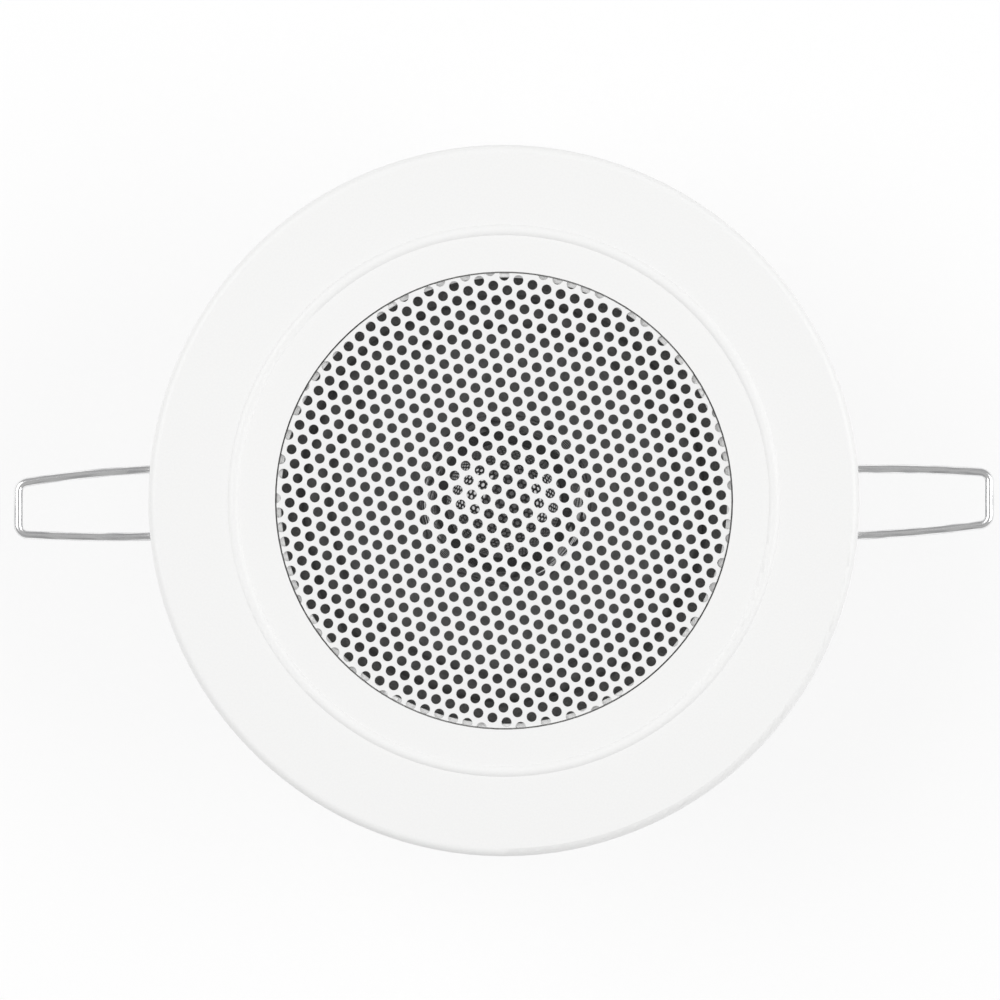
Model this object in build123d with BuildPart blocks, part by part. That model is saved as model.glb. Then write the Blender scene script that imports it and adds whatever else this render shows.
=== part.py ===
"""In-ceiling speaker: white trim ring and grille, 10 cm driver, two wire spring clips.

Millimetres. The origin is the centre of the flange's rear face, which seats on the ceiling panel.
+Z points out of the grille, into the room, and +X runs through the right-hand clip.
"""

import os
from math import atan2, cos, hypot, pi, radians, sin

from build123d import *

# Trim ring: the flange that shows in the room
flange_diameter = 144.0
flange_thickness = 3.2
flange_edge_radius = 1.6
bead_radius = 54.8
bead_width = 2.2
bead_height = 0.42

# Grille: a perforated disc dropped on a ledge inside the flange
grille_diameter = 92.1
grille_thickness = 0.8
grille_recess = 0.3
grille_gap = 0.3
ledge_width = 1.15
ledge_drop = 0.3
ledge_pads = 12
ledge_pad_width = 3.0
ledge_pad_depth = 0.6
relief_depth = 1.3
hole_pitch = 8.0
hole_diameter = 5.2
hole_row_angle = -18.1
hole_edge_margin = 0.8

# Trim ring: what stands behind the flange
sleeve_wall = 1.6
sleeve_depth = 4.0
collar_outer_radius = 56.2
collar_wall = 2.0
collar_depth = 4.0
boss_radius = 3.0
post_gap = 0.6
post_thickness = 2.0
post_width = 30.0
post_depth = 22.0

# Driver: gasket, basket and suspension
gasket_thickness = 0.9
gasket_width = 5.0
sheet = 0.8
basket_rim_clearance = 0.8
basket_wall_top_radius = 41.0
basket_shelf_radius = 34.5
basket_shelf_width = 5.0
basket_shelf_depth = 18.5
basket_bottom_radius = 27.0
basket_bottom_depth = 27.5
basket_bottom_opening = 15.0
basket_bend_radius = 1.2
window_width = 34.0
window_height = 11.0
window_drop = 4.0
ear_radius = 3.8
driver_screw_circle = 100.0
surround_thickness = 0.6
roll_radius = 2.45
roll_circle_radius = 38.05
cone_thickness = 0.5
cone_rim_width = 2.0
cone_depth = 14.0
dust_cap_radius = 15.0
dust_cap_height = 5.7
dust_cap_wall = 0.4
dust_cap_rim = 0.6
spider_thickness = 0.5
spider_wave_height = 1.0
spider_waves = 5

# Driver: voice coil and magnet system
coil_inner_radius = 12.5
former_wall = 0.3
winding_thickness = 0.6
winding_length = 8.0
former_above_neck = 1.5
former_below_winding = 0.4
pole_gap = 0.5
plate_gap = 0.5
top_plate_radius = 33.0
top_plate_thickness = 4.0
magnet_radius = 36.0
magnet_bore_radius = 17.0
magnet_thickness = 13.2
back_plate_thickness = 5.0
plate_rivet_circle = 42.0
plate_rivet_radius = 1.5
plate_rivet_depth = 3.0

# Terminals and leads
shelf_tab_width = 12.0
shelf_tab_reach = 43.0
board_length = 24.0
board_width = 8.0
board_thickness = 1.6
board_radius = 39.5
terminal_spacing = 17.0
blade_width = 4.8
blade_thickness = 0.8
blade_reach = 52.0
eyelet_radius = 1.2
eyelet_head_radius = 2.0
eyelet_head_height = 0.5
board_rivet_radius = 1.5
rivet_head_radius = 2.6
rivet_head_height = 0.7
lead_diameter = 0.9
lead_cone_radius = 24.0

# Screws: one size of pan head screw throughout
screw_radius = 1.4
screw_length = 7.2
screw_head_radius = 2.8
screw_head_height = 2.0
recess_width = 0.8
recess_length = 3.2
recess_depth = 1.0
screw_hole_radius = 2.0
pilot_clearance = 0.05

# Spring clips: brackets, pivot tubes and wire
bracket_sheet = 1.2
bracket_depth = 21.0
bracket_front = 3.5
bracket_ear_spacing = 7.2
bracket_ear_radius = 4.5
bracket_screw_spacing = 12.0
bracket_screw_depth = 18.0
lance_length = 9.4
pivot_depth = 10.0
pivot_wall = 0.7
pivot_clearance = 0.3
pivot_flange_radius = 3.8
pivot_flange_thickness = 0.8
pivot_half_length = 14.5
wire_diameter = 1.8
wire_seat_clearance = 0.15
spring_radius = 4.0
spring_pitch = 2.0
spring_full_turns = 2
spring_rest_slope = 2.0
spring_tail = 9.0
arm_spacing = 13.94
arm_stub = 3.0
arm_tip_radius = 98.5
right_clip_slide = -0.8
right_tip_left = 6.42
right_tip_right = 3.9
right_bow_left = 0.72
right_bow_right = 0.64
left_clip_slide = 0.0
left_tip_left = 6.8
left_tip_right = 3.49
left_bow_left = 0.67
left_bow_right = 0.83
arm_corner_radius = 2.0
arm_bend_radius = 10.0

# Levels along the axis, measured from the seat of the flange
flange_front = flange_thickness
grille_front = flange_front - grille_recess
ledge_top = grille_front - grille_thickness
ledge_floor = ledge_top - ledge_drop
relief_floor = ledge_floor - relief_depth
grille_radius = grille_diameter / 2
opening_radius = grille_radius + grille_gap
sleeve_inner_radius = opening_radius - ledge_width
sleeve_outer_radius = sleeve_inner_radius + sleeve_wall
sleeve_end = -sleeve_depth
lip_top = sleeve_end - gasket_thickness
rim_front = lip_top - surround_thickness
rim_rear = rim_front - sheet
rim_radius = sleeve_outer_radius + basket_rim_clearance
shelf_front = rim_front - basket_shelf_depth
bottom_front = rim_front - basket_bottom_depth
plate_front = bottom_front - sheet
plate_rear = plate_front - top_plate_thickness
magnet_rear = plate_rear - magnet_thickness
yoke_rear = magnet_rear - back_plate_thickness
former_outer_radius = coil_inner_radius + former_wall
neck_front = rim_front - cone_depth
pivot_z = -pivot_depth
post_inner_x = rim_radius + post_gap
post_outer_x = post_inner_x + post_thickness
bracket_outer_x = post_outer_x + bracket_sheet
pivot_x = bracket_outer_x + wire_seat_clearance + wire_diameter / 2 + spring_radius

os.makedirs("parts", exist_ok=True)

# Trim ring: one moulding with flange, bead, driver sleeve, bosses and clip posts, and a ledge
# with low pads for the grille and a relief groove under the grille's edge
bead_inner = bead_radius - bead_width / 2
bead_outer = bead_radius + bead_width / 2
rim = flange_diameter / 2
collar_inner_radius = collar_outer_radius - collar_wall
with BuildPart() as trim_ring:
    with BuildSketch(Plane.XZ) as trim_section:
        with BuildLine():
            Polyline((opening_radius, flange_front), (bead_inner, flange_front))
            ThreePointArc(
                (bead_inner, flange_front),
                (bead_radius, flange_front + bead_height),
                (bead_outer, flange_front),
            )
            Polyline(
                (bead_outer, flange_front),
                (rim - flange_edge_radius, flange_front),
            )
            RadiusArc(
                (rim - flange_edge_radius, flange_front),
                (rim, flange_front - flange_edge_radius),
                flange_edge_radius,
            )
            Polyline(
                (rim, flange_front - flange_edge_radius),
                (rim, 0),
                (collar_outer_radius, 0),
                (collar_outer_radius, -collar_depth),
                (collar_inner_radius, -collar_depth),
                (collar_inner_radius, 0),
                (sleeve_outer_radius, 0),
                (sleeve_outer_radius, sleeve_end),
                (sleeve_inner_radius, sleeve_end),
                (sleeve_inner_radius, ledge_floor),
                (grille_radius, ledge_floor),
                (grille_radius, relief_floor),
                (opening_radius, relief_floor),
                (opening_radius, flange_front),
            )
        make_face()
    revolve(axis=Axis.Z)
    with BuildSketch(Plane.XY.offset(ledge_floor)) as pad_plan:
        with PolarLocations((sleeve_inner_radius + grille_radius) / 2, ledge_pads):
            Rectangle(ledge_pad_depth, ledge_pad_width)
    extrude(amount=ledge_drop)
    with BuildSketch(Plane.XY) as boss_plan:
        with PolarLocations(driver_screw_circle / 2, 4, start_angle=45):
            Circle(boss_radius)
    extrude(amount=rim_front)
    with BuildSketch(Plane.XY) as post_plan:
        with PolarLocations((post_inner_x + post_outer_x) / 2, 2):
            Rectangle(post_thickness, post_width)
    extrude(amount=-post_depth)
    with BuildSketch(Plane.YZ.offset(post_inner_x)) as post_boss_plan:
        with Locations((0, -bracket_screw_depth)):
            with GridLocations(bracket_screw_spacing, 0, 2, 1):
                Circle(boss_radius)
    extrude(amount=bracket_outer_x - post_inner_x - screw_length - 0.4)
    with BuildSketch(Plane.YZ.offset(-post_inner_x)) as far_boss_plan:
        with Locations((0, -bracket_screw_depth)):
            with GridLocations(bracket_screw_spacing, 0, 2, 1):
                Circle(boss_radius)
    extrude(amount=screw_length + 0.4 - bracket_outer_x + post_inner_x)
    with BuildSketch(Plane.XY.offset(rim_front)) as pilot_plan:
        with PolarLocations(driver_screw_circle / 2, 4, start_angle=45):
            Circle(screw_radius + pilot_clearance)
    extrude(amount=screw_length, mode=Mode.SUBTRACT)
    with BuildSketch(Plane.YZ.offset(-post_outer_x)) as post_pilot_plan:
        with Locations((0, -bracket_screw_depth)):
            with GridLocations(bracket_screw_spacing, 0, 2, 1):
                Circle(screw_radius + pilot_clearance)
    extrude(amount=screw_length, mode=Mode.SUBTRACT)
    with BuildSketch(Plane.YZ.offset(post_outer_x)) as far_pilot_plan:
        with Locations((0, -bracket_screw_depth)):
            with GridLocations(bracket_screw_spacing, 0, 2, 1):
                Circle(screw_radius + pilot_clearance)
    extrude(amount=-screw_length, mode=Mode.SUBTRACT)
trim_ring.part.label = "trim_ring"
export_step(trim_ring.part, "parts/trim_ring.step")

# Grille: sheet disc with holes in 60 degree rows
hole_limit = grille_radius - hole_diameter / 2 - hole_edge_margin
row_count = int(grille_diameter / hole_pitch)
row_direction = radians(hole_row_angle)
next_direction = radians(hole_row_angle + 60)
lattice = [
    (
        hole_pitch * (i * cos(row_direction) + j * cos(next_direction)),
        hole_pitch * (i * sin(row_direction) + j * sin(next_direction)),
    )
    for i in range(-row_count, row_count + 1)
    for j in range(-row_count, row_count + 1)
]
hole_centres = [point for point in lattice if hypot(*point) <= hole_limit]
with BuildPart() as grille:
    with BuildSketch(Plane.XY.offset(ledge_top)) as grille_plan:
        Circle(grille_radius)
        with Locations(*hole_centres):
            Circle(hole_diameter / 2, mode=Mode.SUBTRACT)
    extrude(amount=grille_thickness)
grille.part.label = "grille"
export_step(grille.part, "parts/grille.step")

# Gasket: flat ring between the sleeve and the surround's outer lip
with BuildPart() as gasket:
    with BuildSketch(Plane.XY.offset(lip_top)) as gasket_plan:
        Circle(sleeve_outer_radius)
        Circle(sleeve_outer_radius - gasket_width, mode=Mode.SUBTRACT)
    extrude(amount=gasket_thickness)
gasket.part.label = "gasket"
export_step(gasket.part, "parts/gasket.step")

# Basket: pressed from one sheet, with four ears, side windows and a tab for the terminal board
shelf_inner_radius = basket_shelf_radius - basket_shelf_width
window_level = rim_front - window_drop - window_height / 2
with BuildPart() as basket:
    with BuildSketch(Plane.XZ) as basket_section:
        with BuildLine() as basket_line:
            FilletPolyline(
                (rim_radius, rim_front),
                (basket_wall_top_radius, rim_front),
                (basket_shelf_radius, shelf_front),
                (shelf_inner_radius, shelf_front),
                (basket_bottom_radius, bottom_front),
                (basket_bottom_opening, bottom_front),
                radius=basket_bend_radius,
            )
            offset(amount=sheet, side=Side.LEFT)
        make_face()
    revolve(axis=Axis.Z)
    with BuildSketch(Plane.XY.offset(rim_rear)) as ear_plan:
        with PolarLocations(0, 4, start_angle=45):
            SlotCenterPoint(
                ((basket_wall_top_radius + driver_screw_circle / 2) / 2 + 1, 0),
                (driver_screw_circle / 2, 0),
                2 * ear_radius,
            )
    extrude(amount=sheet)
    with BuildSketch(Plane.XY.offset(rim_rear)) as ear_hole_plan:
        with PolarLocations(driver_screw_circle / 2, 4, start_angle=45):
            Circle(screw_hole_radius)
    extrude(amount=sheet, mode=Mode.SUBTRACT)
    with BuildSketch(Plane.XY.offset(shelf_front - sheet)) as tab_plan:
        with Locations((0, (basket_shelf_radius + shelf_tab_reach) / 2 - 0.5)):
            Rectangle(shelf_tab_width, shelf_tab_reach - basket_shelf_radius + 1)
        with Locations((0, board_radius)):
            Circle(board_rivet_radius, mode=Mode.SUBTRACT)
    extrude(amount=sheet)
    with BuildSketch(Plane.XY.offset(window_level - window_height / 2)) as window_plan:
        with PolarLocations(basket_wall_top_radius, 4):
            Rectangle(window_width / 2, window_width)
    extrude(amount=window_height, mode=Mode.SUBTRACT)
    with BuildSketch(Plane.XY.offset(plate_front)) as rivet_hole_plan:
        with PolarLocations(plate_rivet_circle / 2, 4, start_angle=45):
            Circle(plate_rivet_radius)
    extrude(amount=sheet, mode=Mode.SUBTRACT)
basket.part.label = "basket"
export_step(basket.part, "parts/basket.step")

# Surround: outer lip on the basket rim, half roll, inner lip on the cone
roll_outer = roll_radius + surround_thickness / 2
roll_inner = roll_radius - surround_thickness / 2
cone_rim_radius = roll_circle_radius - roll_inner - 0.3
lip_inner_radius = cone_rim_radius - cone_rim_width
with BuildPart() as surround:
    with BuildSketch(Plane.XZ) as surround_section:
        with BuildLine():
            Polyline(
                (roll_circle_radius + roll_inner, lip_top),
                (roll_circle_radius + roll_inner, rim_front),
                (sleeve_outer_radius, rim_front),
                (sleeve_outer_radius, lip_top),
                (roll_circle_radius + roll_outer, lip_top),
            )
            ThreePointArc(
                (roll_circle_radius + roll_outer, lip_top),
                (roll_circle_radius, lip_top + roll_outer),
                (roll_circle_radius - roll_outer, lip_top),
            )
            Polyline(
                (roll_circle_radius - roll_outer, lip_top),
                (lip_inner_radius, lip_top),
                (lip_inner_radius, rim_front),
                (roll_circle_radius - roll_inner, rim_front),
                (roll_circle_radius - roll_inner, lip_top),
            )
            ThreePointArc(
                (roll_circle_radius - roll_inner, lip_top),
                (roll_circle_radius, lip_top + roll_inner),
                (roll_circle_radius + roll_inner, lip_top),
            )
        make_face()
    revolve(axis=Axis.Z)
surround.part.label = "surround"
export_step(surround.part, "parts/surround.step")

# Cone: straight-sided paper cone with a flat rim, open at the neck for the former
cone_slope = cone_depth / (lip_inner_radius - former_outer_radius)
cone_drop = cone_thickness * hypot(1, cone_slope)
with BuildPart() as cone:
    with BuildSketch(Plane.XZ) as cone_section:
        with BuildLine():
            Polyline(
                (cone_rim_radius, rim_front),
                (lip_inner_radius, rim_front),
                (former_outer_radius, neck_front),
                (former_outer_radius, neck_front - cone_drop),
                (lip_inner_radius + (cone_drop - cone_thickness) / cone_slope, rim_front - cone_thickness),
                (cone_rim_radius, rim_front - cone_thickness),
                close=True,
            )
        make_face()
    revolve(axis=Axis.Z)
cone.part.label = "cone"
export_step(cone.part, "parts/cone.step")

# Dust cap: thin dome whose rim is glued to the cone
cap_inner_rim = dust_cap_radius - dust_cap_rim
cap_base = neck_front + (dust_cap_radius - former_outer_radius) * cone_slope
cap_inner_base = neck_front + (cap_inner_rim - former_outer_radius) * cone_slope
cap_top = cap_base + dust_cap_height
cap_sphere = (dust_cap_radius**2 + dust_cap_height**2) / (2 * dust_cap_height)
inner_height = cap_top - dust_cap_wall - cap_inner_base
inner_sphere = (cap_inner_rim**2 + inner_height**2) / (2 * inner_height)
with BuildPart() as dust_cap:
    with BuildSketch(Plane.XZ) as cap_section:
        with BuildLine():
            RadiusArc((0, cap_top), (dust_cap_radius, cap_base), cap_sphere)
            Polyline(
                (dust_cap_radius, cap_base),
                (cap_inner_rim, cap_inner_base),
            )
            RadiusArc((cap_inner_rim, cap_inner_base), (0, cap_top - dust_cap_wall), -inner_sphere)
            Line((0, cap_top - dust_cap_wall), (0, cap_top))
        make_face()
    revolve(axis=Axis.Z)
dust_cap.part.label = "dust_cap"
export_step(dust_cap.part, "parts/dust_cap.step")

# Voice coil: thin former tube with the winding on its lower end, centred on the top plate
winding_middle = (plate_front + plate_rear) / 2
winding_bottom = winding_middle - winding_length / 2
former_bottom = winding_bottom - former_below_winding
with BuildPart() as voice_coil_former:
    with BuildSketch(Plane.XY.offset(former_bottom)) as former_plan:
        Circle(former_outer_radius)
        Circle(coil_inner_radius, mode=Mode.SUBTRACT)
    extrude(amount=neck_front + former_above_neck - former_bottom)
voice_coil_former.part.label = "voice_coil_former"
export_step(voice_coil_former.part, "parts/voice_coil_former.step")

with BuildPart() as voice_coil:
    with BuildSketch(Plane.XY.offset(winding_bottom)) as winding_plan:
        Circle(former_outer_radius + winding_thickness)
        Circle(former_outer_radius, mode=Mode.SUBTRACT)
    extrude(amount=winding_length)
voice_coil.part.label = "voice_coil"
export_step(voice_coil.part, "parts/voice_coil.step")

# Spider: corrugated cloth disc from the basket's shelf to the former
spider_level = shelf_front + spider_thickness / 2
wave_start = former_outer_radius + 1.5
wave_end = shelf_inner_radius - 0.5
wave_step = (wave_end - wave_start) / (2 * spider_waves)
wave_points = [
    (wave_start + wave_step * (n + 0.5), spider_level + spider_wave_height * (1 if n % 2 else -1))
    for n in range(2 * spider_waves)
]
with BuildPart() as spider:
    with BuildSketch(Plane.XZ) as spider_section:
        with BuildLine():
            Polyline(
                (former_outer_radius, shelf_front),
                (wave_start, shelf_front),
                *[(r, z - spider_thickness / 2) for r, z in wave_points],
                (wave_end, shelf_front),
                (basket_shelf_radius - basket_bend_radius, shelf_front),
            )
            offset(amount=spider_thickness, side=Side.LEFT, kind=Kind.INTERSECTION)
        make_face()
    revolve(axis=Axis.Z)
spider.part.label = "spider"
export_step(spider.part, "parts/spider.step")

# Magnet system: top plate, ring magnet, and the yoke whose pole stands inside the coil
plate_bore_radius = former_outer_radius + winding_thickness + plate_gap
with BuildPart() as top_plate:
    with BuildSketch(Plane.XY.offset(plate_rear)) as plate_plan:
        Circle(top_plate_radius)
        Circle(plate_bore_radius, mode=Mode.SUBTRACT)
    extrude(amount=top_plate_thickness)
    chamfer(top_plate.edges().filter_by(GeomType.CIRCLE).sort_by(SortBy.RADIUS)[-2:], 0.4)
    with BuildSketch(Plane.XY.offset(plate_front)) as stake_plan:
        with PolarLocations(plate_rivet_circle / 2, 4, start_angle=45):
            Circle(plate_rivet_radius)
    extrude(amount=-plate_rivet_depth, mode=Mode.SUBTRACT)
top_plate.part.label = "top_plate"
export_step(top_plate.part, "parts/top_plate.step")

with BuildPart() as magnet:
    with BuildSketch(Plane.XY.offset(magnet_rear)) as magnet_plan:
        Circle(magnet_radius)
        Circle(magnet_bore_radius, mode=Mode.SUBTRACT)
    extrude(amount=magnet_thickness)
    chamfer(magnet.edges().filter_by(GeomType.CIRCLE).sort_by(SortBy.RADIUS)[-2:], 0.8)
magnet.part.label = "magnet"
export_step(magnet.part, "parts/magnet.step")

with BuildPart() as yoke:
    with BuildSketch(Plane.XY.offset(yoke_rear)) as back_plan:
        Circle(top_plate_radius)
    extrude(amount=back_plate_thickness)
    chamfer(yoke.edges().filter_by(GeomType.CIRCLE), 0.6)
    with BuildSketch(Plane.XY.offset(magnet_rear)) as pole_plan:
        Circle(coil_inner_radius - pole_gap)
    extrude(amount=plate_front - magnet_rear)
yoke.part.label = "yoke"
export_step(yoke.part, "parts/yoke.step")

# Rivets that stake the basket's bottom to the top plate
with BuildPart() as basket_rivets:
    with BuildSketch(Plane.XY.offset(plate_front - plate_rivet_depth)) as stake_shanks:
        with PolarLocations(plate_rivet_circle / 2, 4, start_angle=45):
            Circle(plate_rivet_radius)
    extrude(amount=plate_rivet_depth + sheet)
    with BuildSketch(Plane.XY.offset(bottom_front)) as stake_heads:
        with PolarLocations(plate_rivet_circle / 2, 4, start_angle=45):
            Circle(rivet_head_radius)
    extrude(amount=rivet_head_height)
basket_rivets.part.label = "basket_rivets"
export_step(basket_rivets.part, "parts/basket_rivets.step")

# Terminal board: phenolic strip riveted under the basket's tab
board_front = shelf_front - sheet
board_rear = board_front - board_thickness
with BuildPart() as terminal_board:
    with BuildSketch(Plane.XY.offset(board_rear)) as board_plan:
        with Locations((0, board_radius)):
            RectangleRounded(board_length, board_width, 1.0)
            Circle(board_rivet_radius, mode=Mode.SUBTRACT)
            with GridLocations(terminal_spacing, 0, 2, 1):
                Circle(eyelet_radius, mode=Mode.SUBTRACT)
    extrude(amount=board_thickness)
terminal_board.part.label = "terminal_board"
export_step(terminal_board.part, "parts/terminal_board.step")

with BuildPart() as terminal_rivet:
    with BuildSketch(Plane.XY.offset(board_rear - rivet_head_height)) as rivet_tail_plan:
        with Locations((0, board_radius)):
            Circle(rivet_head_radius)
    extrude(amount=rivet_head_height)
    with BuildSketch(Plane.XY.offset(board_rear)) as rivet_shank_plan:
        with Locations((0, board_radius)):
            Circle(board_rivet_radius)
    extrude(amount=board_thickness + sheet)
    with BuildSketch(Plane.XY.offset(shelf_front)) as rivet_head_plan:
        with Locations((0, board_radius)):
            Circle(rivet_head_radius)
    extrude(amount=rivet_head_height)
terminal_rivet.part.label = "terminal_rivet"
export_step(terminal_rivet.part, "parts/terminal_rivet.step")

# Terminals: push-on blades held by their own eyelets
blade_start = board_radius - blade_width / 2
terminal_x = terminal_spacing / 2
with BuildPart() as positive_terminal:
    with BuildSketch(Plane.XY.offset(board_rear - blade_thickness)) as blade_plan:
        with Locations((terminal_x, (blade_start + blade_reach) / 2)):
            Rectangle(blade_width, blade_reach - blade_start)
        chamfer(blade_plan.vertices().group_by(Axis.Y)[-1], blade_width / 4)
        with Locations((terminal_x, blade_reach - blade_width)):
            Circle(blade_width / 5, mode=Mode.SUBTRACT)
    extrude(amount=blade_thickness)
    with BuildSketch(Plane.XY.offset(board_rear)) as eyelet_plan:
        with Locations((terminal_x, board_radius)):
            Circle(eyelet_radius)
    extrude(amount=board_thickness)
    with BuildSketch(Plane.XY.offset(board_front)) as eyelet_head_plan:
        with Locations((terminal_x, board_radius)):
            Circle(eyelet_head_radius)
    extrude(amount=eyelet_head_height)
positive_terminal.part.label = "positive_terminal"
export_step(positive_terminal.part, "parts/positive_terminal.step")

with BuildPart() as negative_terminal:
    mirror(positive_terminal.part, about=Plane.YZ)
negative_terminal.part.label = "negative_terminal"
export_step(negative_terminal.part, "parts/negative_terminal.step")

# Leads: braided tinsel wire from each eyelet, through the basket's window, to the back of the cone
lead_x = terminal_x - 2.0
lead_end_level = neck_front + (hypot(lead_x, lead_cone_radius) - former_outer_radius) * cone_slope
lead_end = (lead_x, lead_cone_radius, lead_end_level - cone_drop - lead_diameter / 2 - 0.1)
lead_start = (terminal_x, board_radius, board_front + eyelet_head_height + 0.1)
lead_middle = (terminal_x - 0.7, board_radius - 3.5, lead_start[2] + 9.0)
with BuildPart() as positive_lead:
    with BuildLine() as lead_path:
        ThreePointArc(lead_start, lead_middle, lead_end)
    with BuildSketch(Plane(lead_path.line @ 0, z_dir=lead_path.line % 0)):
        Circle(lead_diameter / 2)
    sweep()
positive_lead.part.label = "positive_lead"
export_step(positive_lead.part, "parts/positive_lead.step")

with BuildPart() as negative_lead:
    mirror(positive_lead.part, about=Plane.YZ)
negative_lead.part.label = "negative_lead"
export_step(negative_lead.part, "parts/negative_lead.step")

# Driver screws: four pan heads under the basket's ears
with BuildPart() as driver_screws:
    with BuildSketch(Plane.XY.offset(rim_rear)) as screw_shanks:
        with PolarLocations(driver_screw_circle / 2, 4, start_angle=45):
            Circle(screw_radius)
    extrude(amount=screw_length)
    with BuildSketch(Plane.XY.offset(rim_rear)) as screw_heads:
        with PolarLocations(driver_screw_circle / 2, 4, start_angle=45):
            Circle(screw_head_radius)
    extrude(amount=-screw_head_height)
    fillet(driver_screws.edges().filter_by(GeomType.CIRCLE).group_by(Axis.Z)[0], 0.8)
    with BuildSketch(Plane.XY.offset(rim_rear - screw_head_height)) as screw_recesses:
        with PolarLocations(driver_screw_circle / 2, 4, start_angle=45):
            Rectangle(recess_length, recess_width)
            Rectangle(recess_width, recess_length)
    extrude(amount=recess_depth, mode=Mode.SUBTRACT)
driver_screws.part.label = "driver_screws"
export_step(driver_screws.part, "parts/driver_screws.step")

# Clip bracket: folded sheet, with two ears lanced out of the plate to carry the pivot tube
pivot_radius = spring_radius - wire_diameter / 2 - pivot_clearance
ear_inner_y = bracket_ear_spacing / 2
ear_outer_y = ear_inner_y + bracket_sheet
plate_width = post_width
with BuildPart() as right_bracket:
    with BuildSketch(Plane.YZ.offset(post_outer_x)) as bracket_plan:
        with Locations((0, -(bracket_front + bracket_depth) / 2)):
            RectangleRounded(plate_width, bracket_depth - bracket_front, 1.0)
        with Locations((ear_outer_y + lance_length / 2, pivot_z), (-ear_outer_y - lance_length / 2, pivot_z)):
            Rectangle(lance_length, 2 * bracket_ear_radius, mode=Mode.SUBTRACT)
        with Locations((0, -bracket_screw_depth)):
            with GridLocations(bracket_screw_spacing, 0, 2, 1):
                Circle(screw_radius + pilot_clearance, mode=Mode.SUBTRACT)
    extrude(amount=bracket_sheet)
    with BuildSketch(Plane.XZ.offset(-ear_outer_y)) as ear_section:
        with Locations(((post_outer_x + pivot_x) / 2, pivot_z)):
            Rectangle(pivot_x - post_outer_x, 2 * bracket_ear_radius)
        with Locations((pivot_x, pivot_z)):
            Circle(bracket_ear_radius)
            Circle(pivot_radius, mode=Mode.SUBTRACT)
    extrude(amount=bracket_sheet)
    mirror(about=Plane.XZ)
right_bracket.part.label = "right_bracket"
export_step(right_bracket.part, "parts/right_bracket.step")

with BuildPart() as left_bracket:
    add(right_bracket.part, rotation=(0, 0, 180))
left_bracket.part.label = "left_bracket"
export_step(left_bracket.part, "parts/left_bracket.step")

# Pivot tube: turned-over tube through both ears, on which the spring's coils sit
with BuildPart() as right_pivot:
    with BuildSketch(Plane.XZ.offset(-pivot_half_length)) as tube_section:
        with Locations((pivot_x, pivot_z)):
            Circle(pivot_radius)
    extrude(amount=2 * pivot_half_length)
    with BuildSketch(Plane.XZ.offset(-pivot_half_length)) as near_flange:
        with Locations((pivot_x, pivot_z)):
            Circle(pivot_flange_radius)
    extrude(amount=pivot_flange_thickness)
    with BuildSketch(Plane.XZ.offset(pivot_half_length)) as far_flange:
        with Locations((pivot_x, pivot_z)):
            Circle(pivot_flange_radius)
    extrude(amount=-pivot_flange_thickness)
    with BuildSketch(Plane.XZ.offset(-pivot_half_length)) as tube_bore:
        with Locations((pivot_x, pivot_z)):
            Circle(pivot_radius - pivot_wall)
    extrude(amount=2 * pivot_half_length, mode=Mode.SUBTRACT)
right_pivot.part.label = "right_pivot"
export_step(right_pivot.part, "parts/right_pivot.step")

with BuildPart() as left_pivot:
    add(right_pivot.part, rotation=(0, 0, 180))
left_pivot.part.label = "left_pivot"
export_step(left_pivot.part, "parts/left_pivot.step")

# Bracket screws: two through each bracket into the post behind it
with BuildPart() as bracket_screws:
    with BuildSketch(Plane.YZ.offset(bracket_outer_x)) as post_shanks:
        with Locations((0, -bracket_screw_depth)):
            with GridLocations(bracket_screw_spacing, 0, 2, 1):
                Circle(screw_radius)
    extrude(amount=-screw_length)
    with BuildSketch(Plane.YZ.offset(bracket_outer_x)) as post_heads:
        with Locations((0, -bracket_screw_depth)):
            with GridLocations(bracket_screw_spacing, 0, 2, 1):
                Circle(screw_head_radius)
    extrude(amount=screw_head_height)
    fillet(bracket_screws.edges().filter_by(GeomType.CIRCLE).group_by(Axis.X)[-1], 0.8)
    with BuildSketch(Plane.YZ.offset(bracket_outer_x + screw_head_height)) as post_recesses:
        with Locations((0, -bracket_screw_depth)):
            with GridLocations(bracket_screw_spacing, 0, 2, 1):
                Rectangle(recess_length, recess_width)
                Rectangle(recess_width, recess_length)
    extrude(amount=-recess_depth, mode=Mode.SUBTRACT)
    mirror(about=Plane.YZ)
bracket_screws.part.label = "bracket_screws"
export_step(bracket_screws.part, "parts/bracket_screws.step")

# Spring clip: one wire, from a tail on the bracket, through a coil, round the loop, and back the same way
spring_tilt = atan2(spring_pitch / 2, 2 * spring_radius)
half_turn_radius = spring_radius / cos(spring_tilt)
last_arc = radians(90 - spring_rest_slope)
arm_run = hypot(sin(last_arc) * cos(spring_tilt), cos(last_arc))
arm_slope = atan2(cos(last_arc), sin(last_arc) * cos(spring_tilt))
arm_lead = atan2(sin(last_arc) * sin(spring_tilt), arm_run)
last_turn_y = arm_spacing / 2 + spring_pitch / 4 * (1 - cos(last_arc))
coil_start_y = last_turn_y + spring_full_turns * spring_pitch
tail_top = (pivot_x - spring_radius, coil_start_y, pivot_z)
tail_end = (pivot_x - spring_radius, coil_start_y, pivot_z - spring_tail)
arm_start_x = pivot_x - spring_radius * cos(last_arc)
arm_start_z = pivot_z + half_turn_radius * sin(last_arc)
arm_plane = Plane(
    origin=(arm_start_x, 0, arm_start_z),
    x_dir=(cos(arm_slope), 0, sin(arm_slope)),
    z_dir=(-sin(arm_slope), 0, cos(arm_slope)),
)
stub_x = arm_stub * cos(arm_lead)
stub_y = arm_spacing / 2 - arm_stub * sin(arm_lead)
tip_x = (arm_tip_radius - arm_start_x) / cos(arm_slope)


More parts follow.
